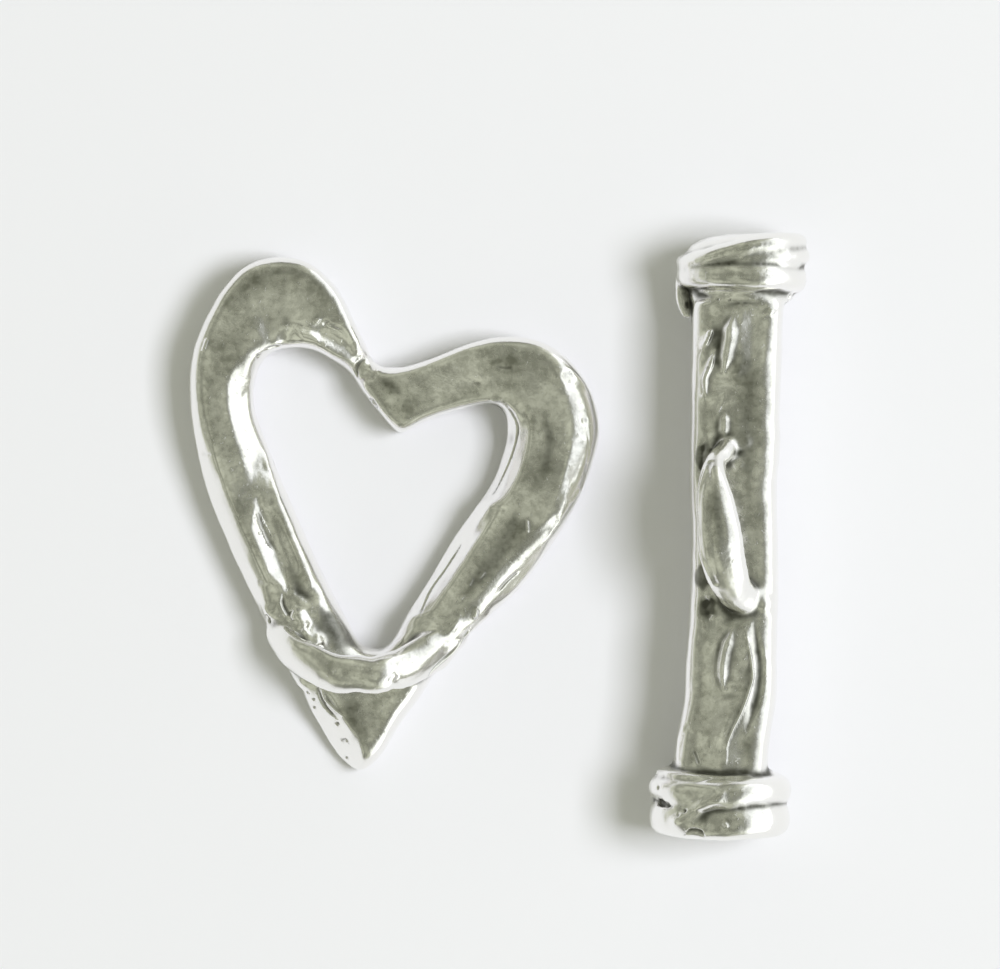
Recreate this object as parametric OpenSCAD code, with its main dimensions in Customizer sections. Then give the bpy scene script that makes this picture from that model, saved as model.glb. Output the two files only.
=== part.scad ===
// Toggle clasp, two cast silver pieces that lie side by side.
// The heart ring lies flat with its point towards -Y; the bar lies to its right, along Y.
// Millimetres, +Z up from the surface that both lie on, origin in the middle of the pair.

/* [Heart ring] */
// Width of the heart's opening
opening_w = 11.4; // [9:0.1:15]
// Height of the heart's opening, lower corner to the top under the lobes
opening_h = 13.5; // [11:0.1:18]
// Width of the ring's band where the section table says 1
ring_w = 3.6; // [2.8:0.1:4.6]
// Height of the ring's crest where the section table says 1
ring_h = 3.2; // [2.4:0.1:4.4]
// Width of the dents and ridges on the ring
dent_w = 1; // [0.6:0.1:1.6]
// Depth of the dents and height of the ridges on the ring
dent_t = 0.3; // [0.1:0.05:0.5]

/* [Bridge bail] */
// Width of the bridge's strand
bail_w = 1.7; // [1.2:0.1:2.3]
// Thickness of the bridge's strand
bail_t = 1.3; // [1:0.1:1.8]
// Clear height under the bridge, above the ring's point
bail_gap = 1.1; // [0.8:0.1:2]

/* [Toggle bar] */
// Length of the bar, end to end over its wraps
bar_l = 27.4; // [24:0.1:34]
// Width of the bar's shaft
bar_w = 4.1; // [3.4:0.1:4.8]
// Thickness of the bar's shaft, from its underside to its top
bar_h = 4.1; // [3.4:0.1:4.8]
// Width of the bark-like folds on the bar
fold_w = 0.5; // [0.3:0.05:0.8]
// Height of the bark-like folds on the bar
fold_t = 0.16; // [0.05:0.01:0.3]

/* [Bar loop] */
// Length of the raised loop along the bar, over its feet
loop_l = 7; // [5:0.1:9]
// Width of the loop's strand
loop_w = 2; // [1.4:0.1:2.6]
// Thickness of the loop's strand
loop_t = 1.2; // [0.9:0.1:1.6]
// Clear height under the loop, above the shaft
loop_gap = 1.2; // [0.8:0.1:2]

/* [End wraps] */
// Radius of the wrap at the bar's upper end
upper_wrap_r = 3; // [2.7:0.1:3.6]
// Radius of the wrap at the bar's lower end
lower_wrap_r = 3.2; // [2.7:0.1:3.8]
// Length of the upper wrap along the bar
upper_wrap_l = 3.2; // [2.6:0.1:4]
// Length of the lower wrap along the bar
lower_wrap_l = 3.4; // [2.6:0.1:4.2]
// Diameter of the upper wrap's loose end
tail_d = 0.56; // [0.4:0.02:0.8]

/* [Layout] */
// Clear distance between the ring and the bar as they lie
lie_gap = 2.2; // [1:0.1:8]
// How far the middle of the heart lies above the middle of the bar
heart_rise = 1; // [-2:0.1:3]

/* [Hidden] */
silver = [0.76, 0.75, 0.71];

// Facets
ring_sides = 20;
ring_steps = 3;
strand_sides = 12;
strand_steps = 3;
cap_rings = 2;
bar_sides = 40;
shaft_rings = 42;
crowd_share = 0.45;
strand_rise_steps = 3;
end_rings = 3;
blob_sides = 12;

// Section of the band: how round its underside is, and where it is widest
foot_power = 4;
widest_share = 0.24;

// The heart's band, a row for each section, counterclockwise from the seam in its neck.
// u, v: place of the section's inner edge, as shares of the opening's width and height from its middle
// aim: degrees from +X, the way from the inner edge to the outer edge
// wide: share of ring_w; tall: share of ring_h; crest: where the crest lies, 0 inner edge, 1 outer edge
// square: how flat the top is, 2 for a round dome and more for a squarer one
BAND = [
//   u       v      aim  wide  tall  crest square
    [-0.110, 0.400,  40, 0.34, 0.67, 0.50, 3.4],
    [-0.146, 0.434,  44, 0.40, 0.76, 0.50, 4.0],
    [-0.200, 0.463,  57, 0.57, 0.88, 0.52, 5.0],
    [-0.260, 0.490,  70, 0.83, 0.95, 0.55, 6.5],
    [-0.320, 0.500,  82, 1.06, 1.00, 0.57, 7.0],
    [-0.374, 0.497,  92, 1.15, 1.00, 0.57, 7.0],
    [-0.420, 0.487, 105, 1.15, 1.00, 0.57, 7.0],
    [-0.460, 0.457, 117, 1.06, 1.00, 0.58, 6.0],
    [-0.484, 0.417, 134, 0.95, 1.00, 0.58, 5.0],
    [-0.498, 0.357, 154, 0.88, 0.98, 0.58, 4.4],
    [-0.492, 0.290, 171, 0.84, 0.97, 0.58, 4.0],
    [-0.460, 0.210, 185, 0.87, 0.96, 0.57, 4.0],
    [-0.410, 0.100, 195, 0.92, 0.94, 0.56, 4.0],
    [-0.343,-0.028, 205, 0.94, 0.92, 0.55, 4.0],
    [-0.272,-0.168, 209, 0.93, 0.90, 0.54, 3.8],
    [-0.200,-0.294, 207, 0.93, 0.87, 0.53, 3.6],
    [-0.142,-0.387, 209, 0.93, 0.84, 0.52, 3.4],
    [-0.098,-0.460, 218, 0.92, 0.80, 0.52, 3.2],
    [-0.067,-0.493, 242, 1.15, 0.77, 0.50, 3.4],
    [-0.038,-0.501, 261, 1.52, 0.75, 0.50, 3.8],
    [-0.008,-0.502, 269, 1.40, 0.75, 0.50, 3.8],
    [ 0.020,-0.495, 283, 0.95, 0.78, 0.50, 3.6],
    [ 0.051,-0.467, 312, 0.70, 0.84, 0.50, 3.4],
    [ 0.090,-0.407, 332, 0.75, 0.90, 0.50, 3.6],
    [ 0.146,-0.334, 343, 0.89, 0.94, 0.50, 4.4],
    [ 0.217,-0.231, 346, 1.08, 0.97, 0.50, 4.8],
    [ 0.300,-0.118, 349, 1.16, 0.98, 0.50, 5.0],
    [ 0.382,-0.022, 355, 1.19, 1.00, 0.50, 5.0],
    [ 0.445, 0.065, 366, 1.24, 1.00, 0.50, 5.0],
    [ 0.488, 0.164, 373, 1.23, 1.00, 0.50, 5.0],
    [ 0.500, 0.248, 379, 1.13, 1.00, 0.50, 5.4],
    [ 0.480, 0.297, 390, 1.06, 0.99, 0.50, 6.0],
    [ 0.430, 0.314, 408, 1.03, 0.97, 0.50, 7.0],
    [ 0.350, 0.304, 422, 1.00, 0.94, 0.50, 7.0],
    [ 0.264, 0.284, 436, 0.87, 0.92, 0.50, 7.0],
    [ 0.180, 0.260, 446, 0.77, 0.91, 0.50, 6.5],
    [ 0.118, 0.231, 453, 0.78, 0.90, 0.50, 6.5],
    [ 0.079, 0.217, 457, 0.82, 0.88, 0.50, 6.0],
    [ 0.031, 0.248, 455, 0.71, 0.86, 0.50, 5.5],
    [-0.028, 0.311, 443, 0.50, 0.83, 0.50, 5.0],
    [-0.075, 0.357, 422, 0.40, 0.79, 0.50, 4.4]];
one_turn = [0, 0, 360, 0, 0, 0, 0];
point_row = 19;

// Slopes worked into the ring's top, each falling towards one edge of the band.
// edge: 0 inner, 1 outer; fall: height lost over each width
// places: a row of BAND, how far the slope reaches from that edge and where it ends in a ledge, both as
// shares of the band's width
SLOPES = [
//   edge fall  places
    [0, 0.75, [[7.5, 0.00, 0.00], [8.0, 0.22, 0.00], [9.0, 0.44, 0.00], [11.2, 0.44, 0.00],
        [12.0, 0.46, 0.26], [12.5, 0.50, 0.38], [15.0, 0.50, 0.40], [15.6, 0.00, 0.00]]],
    [1, 1.50, [[8.5, 0.00, 0.00], [9.5, 0.13, 0.00], [12.0, 0.23, 0.00], [15.8, 0.20, 0.00],
        [16.6, 0.00, 0.00]]],
    [1, 1.20, [[17.1, 0.00, 0.00], [17.5, 0.22, 0.00], [18.0, 0.30, 0.00], [18.6, 0.30, 0.00],
        [19.1, 0.24, 0.00], [19.7, 0.00, 0.00]]],
    [1, 0.75, [[20.3, 0.00, 0.00], [20.9, 0.10, 0.00], [21.6, 0.14, 0.00], [22.2, 0.00, 0.00]]],
    [0, 2.00, [[22.8, 0.00, 0.00], [23.6, 0.23, 0.00], [26.0, 0.22, 0.00], [27.0, 0.16, 0.00],
        [27.4, 0.22, 0.00], [29.3, 0.21, 0.00], [30.6, 0.12, 0.00], [31.4, 0.00, 0.00]]],
    [1, 0.75, [[23.9, 0.00, 0.00], [24.3, 0.22, 0.00], [25.3, 0.24, 0.00], [26.1, 0.20, 0.00],
        [26.6, 0.09, 0.00], [27.1, 0.17, 0.00], [28.0, 0.22, 0.00], [28.6, 0.17, 0.00],
        [29.3, 0.00, 0.00]]],
    [1, 0.52, [[27.2, 0.00, 0.00], [28.0, 0.28, 0.00], [29.2, 0.37, 0.00], [30.2, 0.37, 0.00],
        [30.8, 0.25, 0.00], [31.4, 0.10, 0.00], [31.9, 0.00, 0.00]]]];

// Dents (high under 0) and ridges on the ring's top, each along a few places over the band.
// wide, high: shares of dent_w and dent_t
// places: a row of BAND and a share of the band's width from its inner edge
DENTS = [
//   wide  high  places
    [1.40, -0.90, [[2.2, 0.45], [3.2, 0.38], [4.5, 0.28], [5.8, 0.22]]],
    [0.70, -1.10, [[12.6, 0.56], [13.4, 0.58], [14.2, 0.50], [14.9, 0.46]]],
    [0.70, 0.60, [[12.5, 0.30], [13.6, 0.26], [14.8, 0.24]]],
    [0.60, 0.70, [[17.4, 0.66], [17.9, 0.52], [18.4, 0.44], [18.8, 0.62]]],
    [0.80, -0.50, [[24.6, 0.86], [25.2, 0.90], [25.8, 0.92]]],
    [0.70, -0.80, [[26.8, 0.55], [27.3, 0.52]]],
    [1.00, -0.50, [[33.2, 0.55], [34.4, 0.58]]]];

// The bridge's strand, from its left foot over the opening's lower corner to its right foot.
// row, across: place over the band, as a row of BAND and a share of the band's width from its inner edge
// rise: 0 in the band, 1 at the bridge's middle; wide, thick: shares of bail_w and bail_t
// roll: degrees that the strand's top leans outwards
BAIL = [
//   row   across rise  wide  thick roll
    [15.4, 0.92, 0.00, 0.80, 0.70, 46],
    [15.8, 0.90, 0.24, 1.05, 0.74, 50],
    [16.4, 0.82, 0.54, 1.22, 0.78, 48],
    [17.2, 0.58, 0.86, 1.16, 0.88, 32],
    [18.5, 0.24, 1.00, 1.02, 1.00, 6],
    [20.3, 0.24, 0.98, 1.00, 1.00, 4],
    [21.0, 0.31, 0.86, 1.04, 1.00, 8],
    [22.0, 0.56, 0.56, 1.22, 0.92, 28],
    [22.7, 0.74, 0.32, 1.30, 0.82, 40],
    [23.5, 0.82, 0.06, 1.06, 0.72, 46]];
bail_root_share = 0.62;

// Knobs that fuse the bridge's feet to the legs, each stretched between two places over the band.
// size: radius as a share of bail_t; tall: height of the middle as a share of the crest there
KNOBS = [
//   row   across tall | row   across tall | size
    [14.5, 0.78, 0.78,  14.9, 0.81, 0.76,  0.42],
    [15.0, 0.50, 0.88,  15.4, 0.42, 0.88,  0.32],
    [15.7, 0.62, 0.90,  16.3, 0.52, 0.96,  0.36],
    [16.4, 0.88, 0.66,  17.1, 0.86, 0.70,  0.44],
    [22.5, 0.88, 0.72,  23.2, 0.84, 0.80,  0.42],
    [23.0, 0.64, 0.90,  23.7, 0.72, 0.88,  0.38],
    [23.6, 0.84, 0.80,  24.2, 0.86, 0.76,  0.36],
    [22.4, 0.28, 0.84,  23.0, 0.34, 0.88,  0.36]];

// The bar's shaft, a row for each section from its lower end to its upper end.
// along: share of bar_l from the middle; drift: share of bar_w to the right of the bar's line
// wide, thick: shares of bar_w and bar_h
SHAFT = [
//   along  drift  wide  thick
    [-0.43,-0.110, 1.02, 1.00],
    [-0.38,-0.105, 1.03, 1.00],
    [-0.33,-0.080, 1.03, 1.02],
    [-0.27,-0.010, 1.01, 1.00],
    [-0.19, 0.010, 0.99, 0.99],
    [-0.11, 0.040, 0.97, 0.99],
    [-0.04, 0.050, 0.95, 0.98],
    [ 0.02, 0.040, 0.95, 0.98],
    [ 0.09, 0.035, 0.96, 0.99],
    [ 0.15, 0.055, 0.98, 1.00],
    [ 0.22, 0.060, 0.97, 1.00],
    [ 0.29, 0.070, 0.99, 1.01],
    [ 0.35, 0.075, 1.00, 1.00],
    [ 0.39, 0.090, 1.02, 1.02],
    [ 0.43, 0.100, 1.02, 1.02]];
shaft_power = 4.6;
lower_drift_share = -0.11;
upper_drift_share = 0.12;

// Curves round the bar that shape each end wrap, from the shaft to the bar's end: the wrap's foot on
// the shaft, then by turns the ridge of a strand and the groove beyond it.
// Each place on a curve: degrees round from the bar's right side over its top; share of the wrap's
// length, 0 at its shaft side and 1 at the bar's end; share of its radius, 0 where the shaft gives it
UPPER_WRAP = [
    // foot of the collar
    [[0, 0.00, 0], [180, 0.00, 0], [360, 0.00, 0]],
    // collar
    [[0, 0.05, 0.79], [90, 0.08, 0.77], [180, 0.08, 0.78], [270, 0.08, 0.78], [360, 0.05, 0.79]],
    // groove beyond it
    [[0, 0.10, 0.76], [45, 0.14, 0.75], [120, 0.16, 0.75],
     [180, 0.18, 0.76], [270, 0.16, 0.76], [360, 0.10, 0.76]],
    // inner strand
    [[0, 0.30, 1.00], [45, 0.31, 1.00], [90, 0.34, 0.99], [135, 0.33, 0.98],
     [180, 0.35, 0.98], [270, 0.34, 1.00], [360, 0.30, 1.00]],
    // groove under the strand's end
    [[0, 0.51, 0.91], [45, 0.51, 0.88], [75, 0.52, 0.87], [100, 0.51, 0.89], [120, 0.50, 0.92],
     [150, 0.46, 0.97], [225, 0.50, 0.96], [300, 0.54, 0.90], [345, 0.53, 0.90], [360, 0.51, 0.91]],
    // strand's end, which lies between the other two on the top and the right
    [[0, 0.65, 1.05], [24, 0.64, 1.04], [45, 0.62, 0.99], [62, 0.61, 0.95], [80, 0.60, 0.93],
     [100, 0.56, 0.92], [122, 0.52, 0.93], [150, 0.47, 0.97], [225, 0.52, 0.96], [300, 0.57, 0.91],
     [338, 0.60, 0.92], [348, 0.64, 1.02], [360, 0.65, 1.05]],
    // groove above the strand's end
    [[0, 0.75, 0.96], [45, 0.73, 0.94], [76, 0.69, 0.91], [98, 0.60, 0.91], [120, 0.54, 0.93],
     [150, 0.48, 0.97], [225, 0.54, 0.96], [300, 0.62, 0.90], [338, 0.70, 0.90], [360, 0.75, 0.96]],
    // outer strand
    [[0, 0.86, 0.99], [43, 0.85, 1.00], [76, 0.80, 1.00], [98, 0.72, 1.00],
     [120, 0.62, 1.00], [145, 0.55, 1.00], [180, 0.54, 1.00], [225, 0.64, 1.00],
     [270, 0.76, 1.00], [315, 0.84, 1.00], [360, 0.86, 0.99]],
    // rim of the bar's end
    [[0, 0.98, 0.80], [45, 0.98, 0.80], [76, 0.93, 0.80], [100, 0.85, 0.80], [130, 0.74, 0.82],
     [160, 0.67, 0.84], [200, 0.69, 0.84], [250, 0.84, 0.80], [300, 0.94, 0.80], [360, 0.98, 0.80]]];
LOWER_WRAP = [
    // foot of the wrap
    [[0, 0.06, 0], [45, 0.08, 0], [90, 0.11, 0], [125, 0.07, 0],
     [180, 0.00, 0], [270, 0.06, 0], [360, 0.06, 0]],
    // lip on the left
    [[0, 0.08, 0.77], [60, 0.10, 0.77], [95, 0.13, 0.78], [112, 0.13, 0.86], [140, 0.10, 0.92],
     [172, 0.07, 0.93], [195, 0.07, 0.84], [225, 0.08, 0.77], [360, 0.08, 0.77]],
    // groove beyond the lip
    [[0, 0.10, 0.76], [60, 0.12, 0.76], [95, 0.16, 0.78], [112, 0.19, 0.84], [140, 0.17, 0.88],
     [172, 0.13, 0.89], [195, 0.12, 0.82], [225, 0.11, 0.76], [360, 0.10, 0.76]],
    // inner strand
    [[0, 0.31, 1.00], [40, 0.31, 1.00], [70, 0.33, 1.00], [92, 0.36, 0.98], [115, 0.36, 0.96],
     [140, 0.30, 1.00], [170, 0.27, 1.02], [200, 0.26, 1.01], [270, 0.30, 1.00], [360, 0.31, 1.00]],
    // groove between the strands
    [[0, 0.49, 0.90], [35, 0.49, 0.88], [66, 0.52, 0.86], [86, 0.56, 0.85],
     [108, 0.58, 0.88], [130, 0.50, 0.93], [155, 0.46, 0.92], [185, 0.46, 0.93],
     [225, 0.47, 0.90], [270, 0.50, 0.88], [360, 0.49, 0.90]],
    // outer strand
    [[0, 0.74, 0.98], [40, 0.75, 0.98], [70, 0.78, 0.96], [90, 0.82, 0.92],
     [106, 0.80, 0.84], [122, 0.72, 0.92], [145, 0.68, 1.00], [170, 0.68, 1.02],
     [200, 0.69, 1.00], [270, 0.72, 0.98], [360, 0.74, 0.98]],
    // rim of the bar's end
    [[0, 0.93, 0.76], [45, 0.96, 0.76], [90, 0.98, 0.74], [110, 0.95, 0.74], [150, 0.92, 0.80],
     [200, 0.90, 0.80], [270, 0.94, 0.76], [360, 0.93, 0.76]]];
end_bulge_share = 0.04;

// Bark-like folds, raised where high is over 0 and sunk where it is under 0.
// wide, high: shares of fold_w and fold_t
// places on the shaft: along the bar as a share of bar_l from its middle, and across it, -1 at its left
// side and 1 at its right side
// places on a wrap: along it as in the curves above, and degrees round it
SHAFT_FOLDS = [
//   wide  high  places
    [0.90, 1.20, [[0.338, -0.57], [0.320, -0.70], [0.305, -0.79]]],
    [0.90, 1.20, [[0.302, -0.49], [0.276, -0.61], [0.258, -0.72], [0.233, -0.70]]],
    [0.90, 1.30, [[0.363, -0.01], [0.348, -0.14], [0.319, -0.18], [0.268, -0.22]]],
    [0.80, 0.80, [[0.218, -0.31], [0.197, -0.42]]],
    [0.80, 0.90, [[0.208, -0.25], [0.156, -0.24]]],
    [0.90, 1.30, [[-0.156, 0.05], [-0.179, -0.11], [-0.215, -0.20], [-0.245, -0.11]]],
    [0.90, 1.30, [[-0.140, 0.20], [-0.179, 0.34], [-0.223, 0.44], [-0.253, 0.37], [-0.286, 0.26],
        [-0.319, 0.12], [-0.343, 0.05], [-0.376, 0.06]]],
    [1.40, -1.20, [[0.151, -0.75], [0.099, -0.80]]],
    [1.40, -1.20, [[-0.102, -0.71], [-0.143, -0.56]]]];
LOWER_FOLDS = [
    [1.20, 1.60, [[0.40, 92], [0.50, 106], [0.64, 119], [0.76, 133]]],
    [0.80, -1.60, [[0.46, 150], [0.45, 172]]]];

// The loop's strand, from its upper foot to its lower foot.
// along: share of loop_l from the loop's middle; lean: share of bar_w to the right of the bar's line
// rise: 0 on the shaft, 1 at the top; wide, thick: shares of loop_w and loop_t; roll: as in BAIL
LOOP = [
//   along  lean   rise  wide  thick roll
    [ 0.54,-0.02, -0.14, 0.52, 0.80,  0],
    [ 0.48,-0.08,  0.10, 0.46, 0.85,  0],
    [ 0.42,-0.17,  0.42, 0.48, 0.90,  0],
    [ 0.31,-0.20,  0.76, 0.66, 1.00, -6],
    [ 0.17,-0.18,  0.95, 0.88, 1.00, -8],
    [ 0.02,-0.14,  1.00, 1.00, 1.00, -8],
    [-0.14,-0.11,  0.94, 1.05, 1.00, -8],
    [-0.29,-0.05,  0.68, 1.00, 1.00, -6],
    [-0.40, 0.04,  0.28, 0.88, 0.95,  0],
    [-0.48, 0.20, -0.14, 0.68, 0.85,  0]];
loop_place_share = 0.014;

// Lumps that fuse the loop's feet to the shaft, each stretched between two places on it.
// along: share of loop_l; lean: share of bar_w; size: radius as a share of loop_t
LOOP_LUMPS = [
//   along  lean  | along  lean  | size
    [ 0.52,-0.01,   0.55,  0.16,   0.50],
    [ 0.46, 0.01,   0.40,  0.09,   0.46],
    [ 0.55,-0.10,   0.50, -0.06,   0.42],
    [-0.44, 0.30,  -0.49,  0.34,   0.50],
    [-0.41,-0.20,  -0.45, -0.10,   0.46]];
lump_rise_share = -0.26;

// Loose end of the upper wrap, which hangs along the shaft's left side.
// around, along and out are as in the wraps' curves; size: share of tail_d
TAIL = [
//   around along out   size
    [ 186, 0.34, 0.90, 1.10],
    [ 184, 0.06, 0.90, 1.00],
    [ 182,-0.08, 0.87, 0.90],
    [ 180,-0.18, 0.83, 0.75]];

// Vector of length 1 along v
function unit(v) = v / max(norm(v), 1e-9);

// Value between p1 and p2 on the smooth curve that also passes p0 and p3
function bend(p0, p1, p2, p3, t) =
    0.5 * (2 * p1 + (p2 - p0) * t + (2 * p0 - 5 * p1 + 4 * p2 - p3) * t * t
        + (3 * p1 - p0 - 3 * p2 + p3) * t * t * t);

// Row r of an open table, where r may lie between two rows
function open_row(table, r) =
    let (last = len(table) - 1, i = max(0, min(floor(r), last - 1)))
    bend(table[max(i - 1, 0)], table[i], table[i + 1], table[min(i + 2, last)], r - i);

// All rows of an open table with steps between each two
function open_rows(table, steps) =
    [for (k = [0 : (len(table) - 1) * steps]) open_row(table, k / steps)];

// Row r of a closed table, with a turn added each time round
function closed_at(table, i, turn) =
    let (n = len(table), k = floor(i / n))
    table[i - k * n] + k * turn;
function closed_row(table, r, turn) =
    let (i = floor(r))
    bend(closed_at(table, i - 1, turn), closed_at(table, i, turn), closed_at(table, i + 1, turn),
        closed_at(table, i + 2, turn), r - i);

// Cosine bulged out towards a square: power 2 is a circle
function bulge(c, power) = sign(c) * pow(abs(c), 2 / power);

// Distance of p from the line through a list of places
function reach_to(p, places) =
    min([for (i = [0 : len(places) - 2])
        let (a = places[i], way = places[i + 1] - a, t = max(0, min(1, (p - a) * way / (way * way))))
        norm(p - a - way * t)]);

// Height at p of all folds in a list of half width, height and places: rounded ridges and creases
function lift_at(p, lines) =
    let (lifts = [for (line = lines)
            let (far = reach_to(p, line[2]) / line[0])
            far < 1 ? line[1] * pow(1 - far * far, 2) : 0])
    max(0, max(lifts)) + min(0, min(lifts));

// Solid through rings that have the same number of points; a closed one joins its last ring to its first
module skin(rings, closed = false) {
    n = len(rings[0]);
    m = len(rings);
    top = (m - 1) * n;
    sides = [for (i = [0 : m - (closed ? 1 : 2)]) for (j = [0 : n - 1])
        let (here = i * n, next = (i + 1) % m * n, k = (j + 1) % n)
        each [[here + j, here + k, next + j], [here + k, next + k, next + j]]];
    ends = closed ? [] : [for (j = [1 : n - 2]) each [[0, j + 1, j], [top, top + j, top + j + 1]]];
    polyhedron(points = [for (r = rings) each r], faces = concat(sides, ends), convexity = 8);
}

// Rings of a strand with round ends. shapes holds half its width, half its thickness, and the degrees
// that its top leans from straight up towards its right side, seen along the strand
function strand_rings(mids, shapes) =
    let (last = len(mids) - 1)
    [for (k = [-cap_rings : last + cap_rings])
        let (i = max(0, min(k, last)),
            past = 90 * (k < 0 ? -k : max(k - last, 0)) / (cap_rings + 0.35),
            way = unit(mids[min(i + 1, last)] - mids[max(i - 1, 0)]),
            level = unit(cross(way, [0, 0, 1])),
            up = cross(level, way),
            flat = level * cos(shapes[i][2]) - up * sin(shapes[i][2]),
            face = up * cos(shapes[i][2]) + level * sin(shapes[i][2]),
            mid = mids[i] + way * sign(k - i) * sin(past) * min(shapes[i][0], shapes[i][1]))
        [for (j = [0 : strand_sides - 1])
            let (a = (j + 0.5) * 360 / strand_sides)
            mid + cos(past) * (flat * shapes[i][0] * cos(a) + face * shapes[i][1] * sin(a))]];

module ball(place, r) {
    translate(place) sphere(r = r, $fn = blob_sides);
}

// Place over section r of the heart's band, across from its inner edge and tall as a share of its crest,
// measured from the middle of the opening
function band_place(r, across, tall) =
    let (row = closed_row(BAND, r, one_turn), reach = across * row[3] * ring_w)
    [row[0] * opening_w + cos(row[2]) * reach, row[1] * opening_h + sin(row[2]) * reach,
        tall * row[4] * ring_h];

// Height that the slopes take off over section r of the band, across from its inner edge
function slope_fall(r, across) =
    let (wide = closed_row(BAND, r, one_turn)[3] * ring_w)
    max([for (slope = SLOPES)
        let (from = slope[0] == 0 ? across : 1 - across,
            reach = lookup(r, [for (place = slope[2]) [place[0], place[1]]]),
            ledge = lookup(r, [for (place = slope[2]) [place[0], place[2]]]))
        max(0, reach - max(from, ledge)) * slope[1] * wide]);

dent_lines = [for (dent = DENTS)
    [dent[0] * dent_w / 2, dent[1] * dent_t, [for (place = dent[2])
        let (p = band_place(place[0], place[1], 0)) [p[0], p[1]]]]];

// Ring of points round section r of the band: an uneven dome with its dents on a round-edged foot
function band_section(r) =
    let (row = closed_row(BAND, r, one_turn), skew = ln(row[5]) / ln(0.5))
    [for (k = [0 : ring_sides - 1])
        let (a = (k + 0.5) * 360 / ring_sides,
            power = a < 180 ? row[6] : foot_power,
            across = pow((1 + bulge(cos(a), power)) / 2, skew),
            reach = a < 180 ? 1 - widest_share : widest_share,
            p = band_place(r, across, widest_share + reach * bulge(sin(a), power)),
            top = row[4] * ring_h - slope_fall(r, across))
        [p[0], p[1], min(p[2], top) + (a < 180 ? sin(a) * lift_at([p[0], p[1]], dent_lines) : 0)]];

band_rings = [for (k = [0 : len(BAND) * ring_steps - 1]) band_section(k / ring_steps)];

// The pieces' reach each way, from which their places come
band_xs = [for (ring = band_rings) for (p = ring) p[0]];
band_ys = [for (ring = band_rings) for (p = ring) p[1]];
heart_left = min(band_xs);
heart_right = max(band_xs);
heart_mid_y = (min(band_ys) + max(band_ys)) / 2;
heart_half_h = (max(band_ys) - min(band_ys)) / 2;
bar_left_reach = lower_wrap_r - lower_drift_share * bar_w;
bar_right_reach = upper_wrap_r + upper_drift_share * bar_w;
pair_w = heart_right - heart_left + lie_gap + bar_left_reach + bar_right_reach;
pair_top = max(bar_l / 2, heart_rise + heart_half_h);
pair_bottom = min(-bar_l / 2, heart_rise - heart_half_h);
pair_mid_y = (pair_top + pair_bottom) / 2;
heart_x = -pair_w / 2 - heart_left;
heart_y = heart_rise - heart_mid_y - pair_mid_y;
bar_x = pair_w / 2 - bar_right_reach;
bar_y = -pair_mid_y;

// Height of the bridge's middle, clear of the ring's point below it
bail_mid_z = BAND[point_row][4] * ring_h + bail_gap + bail_t / 2;

module ring_band() {
    skin(band_rings, closed = true);
}

module bail_bridge() {
    rows = open_rows(BAIL, strand_steps);
    mids = [for (row = rows)
        let (base = band_place(row[0], row[1], bail_root_share))
        [base[0], base[1], base[2] + (bail_mid_z - base[2]) * row[2]]];
    skin(strand_rings(mids, [for (row = rows) [row[3] * bail_w / 2, row[4] * bail_t / 2, row[5]]]));
}

module bail_knobs() {
    for (k = KNOBS) {
        hull() {
            ball(band_place(k[0], k[1], k[2]), k[6] * bail_t);
            ball(band_place(k[3], k[4], k[5]), k[6] * bail_t);
        }
    }
}

module heart_ring() {
    color(silver) translate([heart_x, heart_y, 0]) {
        ring_band();
        bail_bridge();
        bail_knobs();
    }
}

// Degrees round the bar of its facets' edges, which lie closest over its top
rounds = [for (k = [0 : bar_sides - 1])
    let (t = k * 360 / bar_sides)
    (t - crowd_share * 180 / PI * sin(t - 90)) % 360];

// Height of the bar's middle at a share of its length: the wraps hold it off the surface
function bar_mid_z(along) = lower_wrap_r + (upper_wrap_r - lower_wrap_r) * (along + 0.5);

// Row of the shaft's table at a share of the bar's length
function shaft_at(along) =
    let (i = max([for (k = [0 : len(SHAFT) - 2]) if (k == 0 || SHAFT[k][0] <= along) k]))
    open_row(SHAFT, i + (along - SHAFT[i][0]) / (SHAFT[i + 1][0] - SHAFT[i][0]));

// Point on the shaft's surface at y, degrees round it from its right side over its top
function shaft_point(y, around) =
    let (row = shaft_at(y / bar_l))
    [row[1] * bar_w + bulge(cos(around), shaft_power) * row[2] * bar_w / 2,
        y,
        bar_mid_z(y / bar_l) + bulge(sin(around), shaft_power) * row[3] * bar_h / 2];

// A wrap: 1 at the bar's upper end or -1 at its lower end, radius, length and drift
upper_wrap = [1, upper_wrap_r, upper_wrap_l, upper_drift_share];
lower_wrap = [-1, lower_wrap_r, lower_wrap_l, lower_drift_share];

// Place in a wrap: along is 0 at its shaft side and 1 at the bar's end, out a share of its radius
function wrap_y(wrap, along) = wrap[0] * (bar_l / 2 - wrap[2] * (1 - along));
function wrap_place(wrap, around, along, out) =
    [wrap[3] * bar_w + cos(around) * out * wrap[1],
        wrap_y(wrap, along),
        bar_mid_z(wrap[0] / 2) + sin(around) * out * wrap[1]];

// Point of one of a wrap's curves; the first curve lies on the shaft
function curve_point(wrap, curve, around) =
    let (along = lookup(around, [for (row = curve) [row[0], row[1]]]),
        out = lookup(around, [for (row = curve) [row[0], row[2]]]))
    out == 0 ? shaft_point(wrap_y(wrap, along), around) : wrap_place(wrap, around, along, out);

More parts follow.
